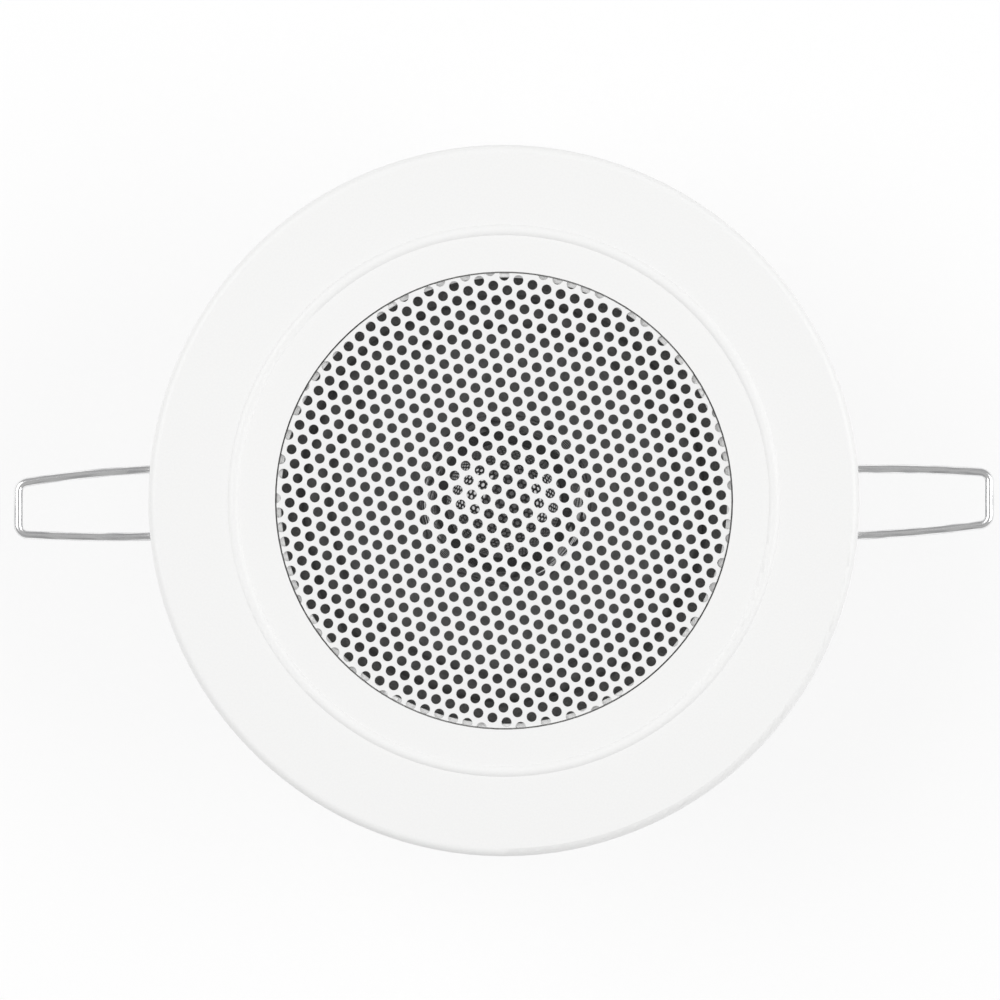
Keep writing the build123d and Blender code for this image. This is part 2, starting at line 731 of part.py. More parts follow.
def clip_wire(tip_left, tip_right, bow_left, bow_right):
    """Sweeps the wire of a clip on the +X side, with the coil centred on its tube."""
    with BuildPart() as clip:
        with BuildLine() as coil_path:
            Line(tail_end, tail_top)
            for turn in range(spring_full_turns):
                turn_y = coil_start_y - turn * spring_pitch
                ThreePointArc(
                    (pivot_x - spring_radius, turn_y, pivot_z),
                    (pivot_x, turn_y - spring_pitch / 4, pivot_z + half_turn_radius),
                    (pivot_x + spring_radius, turn_y - spring_pitch / 2, pivot_z),
                )
                ThreePointArc(
                    (pivot_x + spring_radius, turn_y - spring_pitch / 2, pivot_z),
                    (pivot_x, turn_y - spring_pitch * 3 / 4, pivot_z - half_turn_radius),
                    (pivot_x - spring_radius, turn_y - spring_pitch, pivot_z),
                )
            TangentArc(
                (pivot_x - spring_radius, last_turn_y, pivot_z),
                (arm_start_x, arm_spacing / 2, arm_start_z),
                tangent=(0, 0, 1),
            )
            mirror(about=Plane.XZ)
        with BuildLine(arm_plane) as loop_path:
            Line((0, arm_spacing / 2), (stub_x, stub_y))
            SagittaArc((stub_x, stub_y), (tip_x, tip_left), bow_left)
            Line((tip_x, tip_left), (tip_x, -tip_right))
            SagittaArc((tip_x, -tip_right), (stub_x, -stub_y), bow_right)
            Line((stub_x, -stub_y), (0, -arm_spacing / 2))
            fillet(loop_path.vertices().sort_by(Axis.X)[-2:], arm_corner_radius)
            fillet(loop_path.vertices().sort_by(Axis.X)[2:4], arm_bend_radius)
        with BuildSketch(Plane(tail_end, z_dir=(0, 0, 1))):
            Circle(wire_diameter / 2)
        sweep()
    return clip.part


with BuildPart() as right_spring_clip:
    with Locations((0, right_clip_slide, 0)):
        add(clip_wire(right_tip_left, right_tip_right, right_bow_left, right_bow_right))
right_spring_clip.part.label = "right_spring_clip"
export_step(right_spring_clip.part, "parts/right_spring_clip.step")

with BuildPart() as left_spring_clip:
    with Locations((0, left_clip_slide, 0)):
        add(clip_wire(left_tip_left, left_tip_right, left_bow_left, left_bow_right), rotation=(0, 0, 180))
left_spring_clip.part.label = "left_spring_clip"
export_step(left_spring_clip.part, "parts/left_spring_clip.step")
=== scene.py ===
"""In-ceiling speaker lying face up: white trim ring, perforated grille, 10 cm driver and two wire spring clips."""

import math

import bpy
from mathutils import Matrix, Vector
from mathutils.geometry import delaunay_2d_cdt


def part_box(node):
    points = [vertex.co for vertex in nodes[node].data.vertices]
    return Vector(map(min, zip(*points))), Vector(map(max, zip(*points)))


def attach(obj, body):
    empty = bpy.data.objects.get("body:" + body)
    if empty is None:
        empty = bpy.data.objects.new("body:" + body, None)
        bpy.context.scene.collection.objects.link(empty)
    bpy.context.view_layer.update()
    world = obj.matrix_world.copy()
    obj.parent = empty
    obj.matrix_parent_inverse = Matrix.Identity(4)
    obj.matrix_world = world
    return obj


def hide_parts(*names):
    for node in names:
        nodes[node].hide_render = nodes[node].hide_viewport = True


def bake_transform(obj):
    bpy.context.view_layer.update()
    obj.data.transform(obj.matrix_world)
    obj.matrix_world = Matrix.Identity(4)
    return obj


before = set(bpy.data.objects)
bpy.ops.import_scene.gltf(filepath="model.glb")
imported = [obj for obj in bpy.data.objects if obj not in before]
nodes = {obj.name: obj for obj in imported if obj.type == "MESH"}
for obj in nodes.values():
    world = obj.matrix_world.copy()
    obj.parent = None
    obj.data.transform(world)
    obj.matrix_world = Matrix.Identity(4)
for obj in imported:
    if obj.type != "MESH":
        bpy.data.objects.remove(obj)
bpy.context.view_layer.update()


# Trim ring: the round flange that shows in the room, with a low bead round the grille.
# One moulding in white ABS with a fine satin texture from the mould, and the clip posts
# and screw bosses stand behind it in the same shot of plastic.
grain_low = 0.25
grain_high = 0.75


def new_finish(name, metal=0.0):
    """An empty finish, with its node tree."""
    finish = bpy.data.materials.new(name)
    finish.use_nodes = True
    finish.node_tree.nodes["Principled BSDF"].inputs["Metallic"].default_value = metal
    return finish, finish.node_tree


def noise_pattern(tree, space, scale, detail):
    """A noise pattern laid on the piece in that space, as an output from 0 to 1."""
    place = tree.nodes.new("ShaderNodeTexCoord")
    fit = tree.nodes.new("ShaderNodeMapping")
    fit.inputs["Scale"].default_value = scale
    tree.links.new(place.outputs[space], fit.inputs["Vector"])
    noise = tree.nodes.new("ShaderNodeTexNoise")
    noise.inputs["Scale"].default_value = 1.0
    noise.inputs["Detail"].default_value = detail
    tree.links.new(fit.outputs["Vector"], noise.inputs["Vector"])
    return noise.outputs["Fac"]


def tint_by(tree, pattern, dark, light, low=0.0, high=1.0):
    """Colours the shader from dark to light as the pattern goes from low to high."""
    tint = tree.nodes.new("ShaderNodeValToRGB")
    for stop, place, colour in zip(tint.color_ramp.elements, (low, high), (dark, light)):
        stop.position = place
        stop.color = (*colour, 1.0)
    tree.links.new(pattern, tint.inputs["Fac"])
    tree.links.new(tint.outputs["Color"], tree.nodes["Principled BSDF"].inputs["Base Color"])


def roughen_by(tree, pattern, rough, low, high):
    """Takes the roughness from the first to the second value as the pattern goes from low to high."""
    gloss = tree.nodes.new("ShaderNodeMapRange")
    gloss.inputs["From Min"].default_value = low
    gloss.inputs["From Max"].default_value = high
    gloss.inputs["To Min"].default_value = rough[0]
    gloss.inputs["To Max"].default_value = rough[1]
    tree.links.new(pattern, gloss.inputs["Value"])
    tree.links.new(gloss.outputs["Result"], tree.nodes["Principled BSDF"].inputs["Roughness"])


def raise_by(tree, pattern, relief):
    """Lets the pattern stand out by that much in metres."""
    bump = tree.nodes.new("ShaderNodeBump")
    bump.inputs["Strength"].default_value = 1.0
    bump.inputs["Distance"].default_value = relief
    tree.links.new(pattern, bump.inputs["Height"])
    tree.links.new(bump.outputs["Normal"], tree.nodes["Principled BSDF"].inputs["Normal"])


def grained_finish(name, dark, light, grain, relief, rough, metal=0.0, stretch=(1, 1, 1)):
    """A finish whose colour, gloss and relief all follow one grain, sized in metres."""
    finish, tree = new_finish(name, metal)
    speckle = noise_pattern(tree, "Object", [s / grain for s in stretch], detail=4.0)
    tint_by(tree, speckle, dark, light, grain_low, grain_high)
    roughen_by(tree, speckle, rough, grain_low, grain_high)
    raise_by(tree, speckle, relief)
    return finish


def dress(node_name, finish):
    """Puts a finish on a piece that keeps its shape from the CAD model."""
    mesh = nodes[node_name].data
    mesh.materials.clear()
    mesh.materials.append(finish)


abs_dark = (0.885, 0.885, 0.880)
abs_light = (0.915, 0.915, 0.910)
moulded_white = grained_finish(
    "moulded_white_abs", abs_dark, abs_light, grain=0.0004, relief=0.000004, rough=(0.38, 0.48)
)
dress("trim_ring", moulded_white)


# Grille: a disc of perforated steel sheet dropped on the ledge inside the flange.
# The holes are punched in 60 degree rows across the whole sheet before the disc is
# blanked, so the rim cuts through the outermost holes; then it is painted white.
grille_radius = 0.04605
grille_front = 0.0029
grille_rear = 0.0021
hole_pitch = 0.0030
hole_radius = 0.00101
hole_sides = 24
hole_rows_angle = math.radians(-18.1)
hole_rows_origin = Vector((-0.00083, -0.00067))
rows_each_way = 22
holes_each_way = 33
paint_round = 0.00007
rim_sides = 480
same_point = 1e-7
furthest_hole = grille_radius + hole_radius * 0.55
front_hole_radius = hole_radius + paint_round
punched_out = front_hole_radius * 0.985


def ring_of_points(centre, radius, sides):
    """Points of a circle on the sheet, anticlockwise."""
    turns = [2 * math.pi * n / sides for n in range(sides)]
    return [centre + Vector((math.cos(t), math.sin(t))) * radius for t in turns]


def new_piece(name, points, faces, finish, sharp_angle=35.0):
    """A mesh object in the row frame, smooth apart from its sharp edges."""
    mesh = bpy.data.meshes.new(name)
    mesh.from_pydata(points, [], faces)
    mesh.validate()
    mesh.update()
    mesh.polygons.foreach_set("use_smooth", [True] * len(mesh.polygons))
    mesh.set_sharp_from_angle(angle=math.radians(sharp_angle))
    mesh.materials.append(finish)
    made = bpy.data.objects.new(name, mesh)
    bpy.context.scene.collection.objects.link(made)
    return made


row_step = Vector((hole_pitch, 0))
row_step.rotate(Matrix.Rotation(hole_rows_angle, 2))
slant_step = Vector((hole_pitch / 2, hole_pitch * math.sqrt(3) / 2))
slant_step.rotate(Matrix.Rotation(hole_rows_angle, 2))
hole_centres = []
for row in range(-rows_each_way, rows_each_way + 1):
    for place in range(-holes_each_way, holes_each_way + 1):
        centre = hole_rows_origin + row_step * place + slant_step * row
        if centre.length < furthest_hole:
            hole_centres.append(centre)

sheet_points = ring_of_points(Vector((0, 0)), grille_radius - paint_round, rim_sides)
sheet_edges = [(n, (n + 1) % rim_sides) for n in range(rim_sides)]
for centre in hole_centres:
    first = len(sheet_points)
    sheet_points.extend(ring_of_points(centre, front_hole_radius, hole_sides))
    sheet_edges.extend((first + n, first + (n + 1) % hole_sides) for n in range(hole_sides))
cut = delaunay_2d_cdt(sheet_points, sheet_edges, [], 0, same_point)
cut_points, cut_faces = cut[0], cut[2]

lattice = Matrix(((row_step.x, slant_step.x), (row_step.y, slant_step.y))).inverted()


def in_a_hole(point):
    """True where the punch has taken the sheet away."""
    along, up = lattice @ (point - hole_rows_origin)
    for row in (math.floor(up), math.floor(up) + 1):
        for place in (math.floor(along), math.floor(along) + 1):
            centre = hole_rows_origin + row_step * place + slant_step * row
            if centre.length < furthest_hole and (point - centre).length < punched_out:
                return True
    return False


sheet_faces = []
for face in cut_faces:
    middle = (cut_points[face[0]] + cut_points[face[1]] + cut_points[face[2]]) / 3
    if middle.length < grille_radius - paint_round and not in_a_hole(middle):
        sheet_faces.append(tuple(face))

border = {}
for a, b, c in sheet_faces:
    for start, end in ((a, b), (b, c), (c, a)):
        if border.pop((end, start), None) is None:
            border[(start, end)] = True
outward = {}
for start, end in border:
    run = (cut_points[end] - cut_points[start]).normalized()
    for corner in (start, end):
        outward[corner] = outward.get(corner, Vector((0, 0))) + Vector((run.y, -run.x))

grille_points = []
front_row = {}
edge_row = {}
rear_row = {}
for corner in sorted({corner for face in sheet_faces for corner in face}):
    flat = cut_points[corner]
    front_row[corner] = len(grille_points)
    grille_points.append((flat.x, flat.y, grille_front))
    wall = flat
    if corner in outward:
        wall = flat + outward[corner].normalized() * paint_round
        edge_row[corner] = len(grille_points)
        grille_points.append((wall.x, wall.y, grille_front - paint_round))
    rear_row[corner] = len(grille_points)
    grille_points.append((wall.x, wall.y, grille_rear))
grille_faces = [tuple(front_row[c] for c in face) for face in sheet_faces]
grille_faces += [tuple(rear_row[c] for c in reversed(face)) for face in sheet_faces]
for start, end in border:
    grille_faces.append((front_row[end], front_row[start], edge_row[start], edge_row[end]))
    grille_faces.append((edge_row[end], edge_row[start], rear_row[start], rear_row[end]))

paint_dark = (0.865, 0.865, 0.862)
paint_light = (0.895, 0.895, 0.892)
painted_white = grained_finish(
    "white_paint_on_steel", paint_dark, paint_light, grain=0.0006, relief=0.000006, rough=(0.34, 0.46)
)
grille_sheet = new_piece("perforated_grille", grille_points, grille_faces, painted_white)
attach(grille_sheet, "housing")
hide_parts("grille")


# Gasket: a flat ring of black foam board between the sleeve and the driver's rim.
# It is cut from sheet, so its face is matt and full of small open cells.
foam_dark = (0.130, 0.130, 0.130)
foam_light = (0.220, 0.220, 0.217)
foam_black = grained_finish(
    "black_foam_board", foam_dark, foam_light, grain=0.0005, relief=0.00006, rough=(0.85, 0.97)
)
dress("gasket", foam_black)


# Basket: the driver's frame, pressed from one steel sheet with ears and side windows.
# It is dipped in black paint, which stays a little uneven and half gloss.
basket_dark = (0.016, 0.016, 0.017)
basket_light = (0.030, 0.030, 0.031)
painted_black = grained_finish(
    "black_paint_on_steel", basket_dark, basket_light, grain=0.0011, relief=0.00001, rough=(0.28, 0.42)
)
dress("basket", painted_black)


# Surround: the half roll of black rubber that lets the cone travel.
# It is moulded in one ring, glued to the basket's rim outside and to the cone inside,
# so its inner lip goes with the cone while its outer lip stays.
roll_circle = 0.03805
roll_outer = 0.00275
roll_inner = 0.00215
surround_top = -0.0049
surround_seat = -0.0055
surround_outer_lip = 0.0468
surround_inner_lip = 0.0336
roll_steps = 24
turned_steps = 192


def half_roll(radius, first, last):
    """Points of the roll's half circle in section, from one angle to the other in degrees."""
    found = []
    for n in range(roll_steps + 1):
        angle = math.radians(first + (last - first) * n / roll_steps)
        found.append((roll_circle + radius * math.cos(angle), surround_top + radius * math.sin(angle)))
    return found


def turned(name, section, finish, sharp_angle=35.0):
    """A piece of revolution about Z from (radius, height) points that run once round its section."""
    points = []
    rings = []
    for radius, height in section:
        if radius < same_point:
            rings.append([len(points)] * turned_steps)
            points.append((0.0, 0.0, height))
            continue
        rings.append(list(range(len(points), len(points) + turned_steps)))
        for n in range(turned_steps):
            angle = 2 * math.pi * n / turned_steps
            points.append((radius * math.cos(angle), radius * math.sin(angle), height))
    faces = []
    for here, there in zip(rings, rings[1:] + rings[:1]):
        for n in range(turned_steps):
            after = (n + 1) % turned_steps
            corners = []
            for corner in (here[n], here[after], there[after], there[n]):
                if corner not in corners:
                    corners.append(corner)
            if len(corners) > 2:
                faces.append(corners)
    return new_piece(name, points, faces, finish, sharp_angle)


def follow_cone(piece):
    """Bakes the piece's placement into its points."""
    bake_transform(piece)


surround_section = half_roll(roll_outer, 0, 180)
surround_section += [(surround_inner_lip, surround_top), (surround_inner_lip, surround_seat)]
surround_section += [(roll_circle - roll_inner, surround_seat)]
surround_section += half_roll(roll_inner, 180, 0)
surround_section += [(roll_circle + roll_inner, surround_seat), (surround_outer_lip, surround_seat)]
surround_section += [(surround_outer_lip, surround_top)]
rubber_dark = (0.125, 0.125, 0.125)
rubber_light = (0.170, 0.170, 0.168)
moulded_rubber = grained_finish(
    "black_rubber", rubber_dark, rubber_light, grain=0.0009, relief=0.000008, rough=(0.48, 0.60)
)
surround = turned("rubber_surround", surround_section, moulded_rubber)
follow_cone(surround)
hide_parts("surround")


# Cone: a straight-sided cone of black pulp, felted on a mesh mould and pressed.
# Its face is matt, with long fibres in it, and it carries the surround and the voice coil.
pulp_dark = (0.165, 0.165, 0.166)
pulp_light = (0.255, 0.255, 0.255)
pressed_pulp = grained_finish(
    "black_paper_pulp",
    pulp_dark,
    pulp_light,
    grain=0.0007,
    relief=0.00004,
    rough=(0.70, 0.90),
    stretch=(1.0, 0.35, 1.0),
)
dress("cone", pressed_pulp)


# Dust cap: a thin polymer dome that closes the cone's neck, glossy as it leaves the mould.
# It stands on the cone in a low wide bead of glossy black glue, laid while the driver turns.
cap_rim = 0.0150
cap_rim_level = -0.01802
cap_top = -0.01232
cap_wall = 0.0006
cap_steps = 40
glue_inside = 0.0142
glue_outside = 0.0178
glue_swell = 0.00030
glue_steps = 16
cone_neck = Vector((0.0128, -0.0195))
cone_slope = 0.6731

cap_height = cap_top - cap_rim_level
cap_sphere = (cap_rim**2 + cap_height**2) / (2 * cap_height)


def dome(sphere, centre_level, rim_radius):
    """Points of a spherical dome in section, from its crown to its rim."""
    widest = math.asin(rim_radius / sphere)
    angles = [widest * n / cap_steps for n in range(cap_steps + 1)]
    return [(sphere * math.sin(a), centre_level + sphere * math.cos(a)) for a in angles]


cap_centre = cap_top - cap_sphere
cap_section = dome(cap_sphere - cap_wall, cap_centre, cap_rim - cap_wall)
cap_section += reversed(dome(cap_sphere, cap_centre, cap_rim))
gloss_dark = (0.060, 0.060, 0.061)
gloss_light = (0.080, 0.080, 0.081)
gloss_black = grained_finish(
    "glossy_black_polymer", gloss_dark, gloss_light, grain=0.004, relief=0.0000005, rough=(0.02, 0.05)
)
gloss_shader = gloss_black.node_tree.nodes["Principled BSDF"]
gloss_shader.inputs["IOR"].default_value = 1.9
gloss_shader.inputs["Specular IOR Level"].default_value = 1.0
dust_cap = turned("dust_cap_dome", cap_section, gloss_black)
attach(dust_cap, "cone_assembly")
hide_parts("dust_cap")

glue_start = Vector((glue_inside, cap_centre + math.sqrt(cap_sphere**2 - glue_inside**2)))
glue_end = Vector((glue_outside, cone_neck.y + (glue_outside - cone_neck.x) * cone_slope))
glue_run = glue_end - glue_start
glue_section = [(cap_rim, cap_rim_level)]
for n in range(glue_steps + 1):
    share = 1 - n / glue_steps
    swell = glue_swell * 4 * share * (1 - share)
    point = glue_start + glue_run * share
    glue_section.append((point.x, point.y + swell))
glue_bead = turned("dust_cap_glue", glue_section, gloss_black, sharp_angle=60)
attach(glue_bead, "cone_assembly")


# Voice coil: enamelled copper wire wound on a thin aluminium tube, glued into the cone's neck.
# The winding stands in the magnet's gap, and the layers show as fine rings.
alu_dark = (0.62, 0.62, 0.63)
alu_light = (0.74, 0.74, 0.75)
former_foil = grained_finish(
    "aluminium_former",
    alu_dark,
    alu_light,
    grain=0.0006,
    relief=0.000004,
    rough=(0.25, 0.38),
    metal=1.0,
    stretch=(1, 1, 0.15),
)
dress("voice_coil_former", former_foil)
copper_dark = (0.42, 0.17, 0.08)
copper_light = (0.72, 0.34, 0.18)
copper_wire = grained_finish(
    "enamelled_copper",
    copper_dark,
    copper_light,
    grain=0.00022,
    relief=0.00003,
    rough=(0.22, 0.36),
    metal=1.0,
    stretch=(0.03, 0.03, 1),
)
dress("voice_coil", copper_wire)


# Spider: the corrugated cloth disc that keeps the coil in the middle of its gap.
# Woven cotton is dipped in resin and hot pressed; its rim is glued to the basket's shelf
# and its inner edge to the former, so it stretches as the cone travels.
spider_inner = 0.0128
spider_outer = 0.0333
spider_level = -0.02375
spider_wall = 0.0005
spider_waves = 5
spider_wave_start = 0.0143
spider_wave_end = 0.0285
spider_wave_height = 0.00085
spider_steps = 90


def spider_height(reach):
    """Height of the cloth's middle above its level at a distance from the axis."""
    if not spider_wave_start < reach < spider_wave_end:
        return 0.0
    share = (reach - spider_wave_start) / (spider_wave_end - spider_wave_start)
    return -spider_wave_height * math.sin(2 * math.pi * spider_waves * share)


spider_width = spider_outer - spider_inner
spider_reaches = [spider_inner + spider_width * n / spider_steps for n in range(spider_steps + 1)]
spider_section = [(r, spider_level + spider_height(r) - spider_wall / 2) for r in spider_reaches]
spider_section += [(r, spider_level + spider_height(r) + spider_wall / 2) for r in reversed(spider_reaches)]
wave_at_scale_one = 0.31


def woven_finish(name, dark, light, thread, relief):
    """Plain woven cloth: two sets of threads that cross, with painted shade in the gaps between them."""
    finish, tree = new_finish(name)
    tree.nodes["Principled BSDF"].inputs["Roughness"].default_value = 0.8
    place = tree.nodes.new("ShaderNodeTexCoord")
    threads = []
    for direction in ("X", "Y"):
        wave = tree.nodes.new("ShaderNodeTexWave")
        wave.bands_direction = direction
        wave.inputs["Scale"].default_value = wave_at_scale_one / thread
        wave.inputs["Distortion"].default_value = 0.4
        tree.links.new(place.outputs["Object"], wave.inputs["Vector"])
        threads.append(wave)
    over = tree.nodes.new("ShaderNodeMath")
    over.operation = "MULTIPLY"
    tree.links.new(threads[0].outputs["Fac"], over.inputs[0])
    tree.links.new(threads[1].outputs["Fac"], over.inputs[1])
    tint_by(tree, over.outputs["Value"], dark, light)
    raise_by(tree, over.outputs["Value"], relief)
    return finish


# The darker colour is painted shade where the threads leave gaps; the lighter one is the cloth's own colour where
# they cross.
cloth_gap_shade = (0.40, 0.27, 0.11)
cloth_light = (0.58, 0.42, 0.19)
resin_cloth = woven_finish("resin_dipped_cloth", cloth_gap_shade, cloth_light, thread=0.0006, relief=0.00006)
spider = turned("corrugated_spider", spider_section, resin_cloth, sharp_angle=60)
follow_cone(spider)
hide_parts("spider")


# Magnet system: a ring of sintered ferrite glued between a steel top plate and a T-yoke.
# The ferrite is ground dark grey stone, and both steel parts are turned and zinc plated.
ferrite_dark = (0.022, 0.022, 0.024)
ferrite_light = (0.060, 0.060, 0.063)
ground_ferrite = grained_finish(
    "ground_ferrite", ferrite_dark, ferrite_light, grain=0.0008, relief=0.00003, rough=(0.55, 0.75)
)
dress("magnet", ground_ferrite)
zinc_dark = (0.50, 0.51, 0.52)
zinc_light = (0.66, 0.67, 0.69)
plated_zinc = grained_finish(
    "zinc_plated_steel", zinc_dark, zinc_light, grain=0.0016, relief=0.000006, rough=(0.26, 0.40), metal=1.0
)
dress("top_plate", plated_zinc)
dress("yoke", plated_zinc)


# Rivets: four soft steel rivets stake the basket to the top plate, and one holds the terminal board.
# They are set in one blow and zinc plated, and their heads stay a little dull.
dress("basket_rivets", plated_zinc)
dress("terminal_rivet", plated_zinc)


# Terminal board: a strip of brown phenolic paper under the basket's tab.
# It is punched from laminated sheet, so it is smooth and shows the paper's fibres.
phenolic_dark = (0.16, 0.065, 0.025)
phenolic_light = (0.30, 0.140, 0.060)
phenolic_sheet = grained_finish(
    "brown_phenolic_paper",
    phenolic_dark,
    phenolic_light,
    grain=0.0014,
    relief=0.00001,
    rough=(0.40, 0.55),
    stretch=(0.3, 1, 1),
)
dress("terminal_board", phenolic_sheet)


# Terminals: two push-on blades of plain brass, each held to the board by its own eyelet.
# They are stamped from strip and keep the bright, slightly rolled face of the metal.
brass_dark = (0.56, 0.42, 0.16)
brass_light = (0.76, 0.60, 0.26)
rolled_brass = grained_finish(
    "rolled_brass",
    brass_dark,
    brass_light,
    grain=0.0008,
    relief=0.000006,
    rough=(0.24, 0.38),
    metal=1.0,
    stretch=(1, 0.2, 1),
)
dress("positive_terminal", rolled_brass)
dress("negative_terminal", rolled_brass)


# Leads: tinsel wire from each terminal's eyelet to the back of the cone.
# Flat copper tinsel is wound on cotton and three such strands are twisted together,
# so the lead flexes with every stroke.
lead_radius = 0.00045
lead_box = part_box("positive_lead")
lead_start = Vector((0.0085, 0.0395, -0.0242))
lead_middle = Vector((0.0078, 0.0360, -0.0152))
lead_end = Vector((0.0065, 0.0240, lead_box[1].z - lead_radius))
lead_steps = 60
lead_strands = 3
lead_twist = 16
strand_share = 0.464
strand_radius = lead_radius * strand_share
strand_circle = lead_radius - strand_radius
strand_sides = 8


def arc_through(start, middle, end, steps):
    """Points of the circular arc from start through middle to end."""
    across = (middle - start).cross(end - start)
    first, second = middle - start, end - start
    to_centre = first.length_squared * second.cross(across)
    to_centre += second.length_squared * across.cross(first)
    to_centre /= 2 * across.length_squared
    arm = -to_centre
    up = across.normalized().cross(arm)
    final = end - start - to_centre
    sweep = math.atan2(final.dot(up), final.dot(arm)) % (2 * math.pi)
    centre = start + to_centre
    angles = [sweep * n / steps for n in range(steps + 1)]
    return [centre + arm * math.cos(a) + up * math.sin(a) for a in angles]


def wire_skin(path, radius, sides):
    """Points and faces of a round wire, closed at both ends, and each point's place along it."""
    points = []
    faces = []
    along = []
    side = (path[1] - path[0]).orthogonal().normalized()
    for n, middle in enumerate(path):
        run = (path[min(n + 1, len(path) - 1)] - path[max(n - 1, 0)]).normalized()
        side = (side - run * side.dot(run)).normalized()
        other = run.cross(side)
        for k in range(sides):
            angle = 2 * math.pi * k / sides
            points.append(middle + (side * math.cos(angle) + other * math.sin(angle)) * radius)
            along.append(n / (len(path) - 1))
    for n in range(len(path) - 1):
        here, there = n * sides, (n + 1) * sides
        for k in range(sides):
            after = (k + 1) % sides
            faces.append((here + k, here + after, there + after, there + k))
    faces.append(tuple(reversed(range(sides))))
    faces.append(tuple(range((len(path) - 1) * sides, len(path) * sides)))
    return points, faces, along


tinsel_dark = (0.50, 0.27, 0.15)
tinsel_light = (0.86, 0.60, 0.42)
braided_tinsel = grained_finish(
    "braided_tinsel", tinsel_dark, tinsel_light, grain=0.00025, relief=0.00003, rough=(0.28, 0.45), metal=1.0
)
for node_name, mirror in (("positive_lead", 1), ("negative_lead", -1)):
    path = arc_through(lead_start, lead_middle, lead_end, lead_steps)
    path = [Vector((p.x * mirror, p.y, p.z)) for p in path]
    lead_points, lead_faces, lead_along = [], [], []
    for strand in range(lead_strands):
        strand_path = []
        side = (path[1] - path[0]).orthogonal().normalized()
        for n, middle in enumerate(path):
            run = (path[min(n + 1, lead_steps)] - path[max(n - 1, 0)]).normalized()
            side = (side - run * side.dot(run)).normalized()
            angle = lead_twist * n / lead_steps + 2 * math.pi * strand / lead_strands
            offset = side * math.cos(angle) + run.cross(side) * math.sin(angle)
            strand_path.append(middle + offset * strand_circle)
        first = len(lead_points)
        points, faces, along = wire_skin(strand_path, strand_radius, strand_sides)
        lead_points += points
        lead_faces += [tuple(first + corner for corner in face) for face in faces]
        lead_along += along
    lead = new_piece(node_name + "_braid", lead_points, lead_faces, braided_tinsel, sharp_angle=60)
    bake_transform(lead)
    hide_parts(node_name)


# Driver screws and bracket screws: one size of pan head self-tapping screw throughout.
# Cold headed steel, zinc plated; they hold the driver to the bosses and the brackets to the posts.
screw_dark = (0.46, 0.47, 0.48)
screw_light = (0.68, 0.69, 0.70)
screw_zinc = grained_finish(
    "zinc_plated_screws", screw_dark, screw_light, grain=0.0006, relief=0.000008, rough=(0.24, 0.36), metal=1.0
)
dress("driver_screws", screw_zinc)
dress("bracket_screws", screw_zinc)


# Clip brackets and pivot tubes: folded sheet with two lanced ears, and a tube turned over at both ends.
# Both are bright zinc plated steel, and the tube carries the spring's coils.
for side_name in ("right", "left"):
    dress(side_name + "_bracket", plated_zinc)
    dress(side_name + "_pivot", plated_zinc)


# Spring clips: each is one length of polished spring wire, from a tail on the bracket through a
# coil on the pivot tube, round the loop that holds the ceiling panel, and back the same way.
# The tails stay on the bracket while the loop folds, so the coils wind up.
wire_radius = 0.0009
wire_sides = 20
pivot_x = 0.05645
pivot_z = -0.0100
coil_radius = 0.0040
coil_pitch = 0.0020
coil_turns = 2
clip_rest_slope = math.radians(2.0)
tail_length = 0.0090
tail_steps = 6
arm_spacing = 0.01394
arm_stub = 0.0030
arm_tip = 0.0985
tip_corner_radius = 0.0020
stub_bend_radius = 0.0100
clear_of_bend = 1.02
leg_steps = 60
corner_steps = 14
half_turn_steps = 28

coil_tilt = math.atan2(coil_pitch / 2, 2 * coil_radius)
half_turn_radius = coil_radius / math.cos(coil_tilt)
last_arc = math.pi / 2 - clip_rest_slope
last_turn_y = arm_spacing / 2 + coil_pitch / 4 * (1 - math.cos(last_arc))
coil_start_y = last_turn_y + coil_turns * coil_pitch
arm_slope = math.atan2(math.cos(last_arc), math.sin(last_arc) * math.cos(coil_tilt))
arm_run = math.hypot(math.sin(last_arc) * math.cos(coil_tilt), math.cos(last_arc))
arm_lead = math.atan2(math.sin(last_arc) * math.sin(coil_tilt), arm_run)
arm_start_x = pivot_x - coil_radius * math.cos(last_arc)
arm_start_z = pivot_z + half_turn_radius * math.sin(last_arc)
stub_x = arm_stub * math.cos(arm_lead)
stub_y = arm_spacing / 2 - arm_stub * math.sin(arm_lead)
tip_x = (arm_tip - arm_start_x) / math.cos(arm_slope)


def bowed_leg(start, end, bow):
    """Points from start to end, bowed to the left by that much in the middle."""
    run = end - start
    left = Vector((-run.y, run.x)).normalized()
    shares = [n / leg_steps for n in range(leg_steps + 1)]
    return [start + run * s + left * (4 * bow * s * (1 - s)) for s in shares]


def rounded(before, after, radius):
    """The corner between two legs as an arc of that radius, with both legs cut back to meet it."""
    corner = after[0]
    come = (corner - before[-2]).normalized()
    go = (after[1] - corner).normalized()
    turn = come.angle_signed(go)
    cut_back = radius * math.tan(abs(turn) / 2)
    inward = Vector((-come.y, come.x)) * (-1 if turn > 0 else 1)
    start = corner - come * cut_back
    arc = []
    for n in range(corner_steps + 1):
        angle = abs(turn) * n / corner_steps
        arc.append(start + come * radius * math.sin(angle) + inward * radius * (1 - math.cos(angle)))
    bend_reach = cut_back * clear_of_bend
    kept_before = [p for p in before if (p - corner).length > bend_reach]
    kept_after = [p for p in after if (p - corner).length > bend_reach]
    return kept_before, arc, kept_after


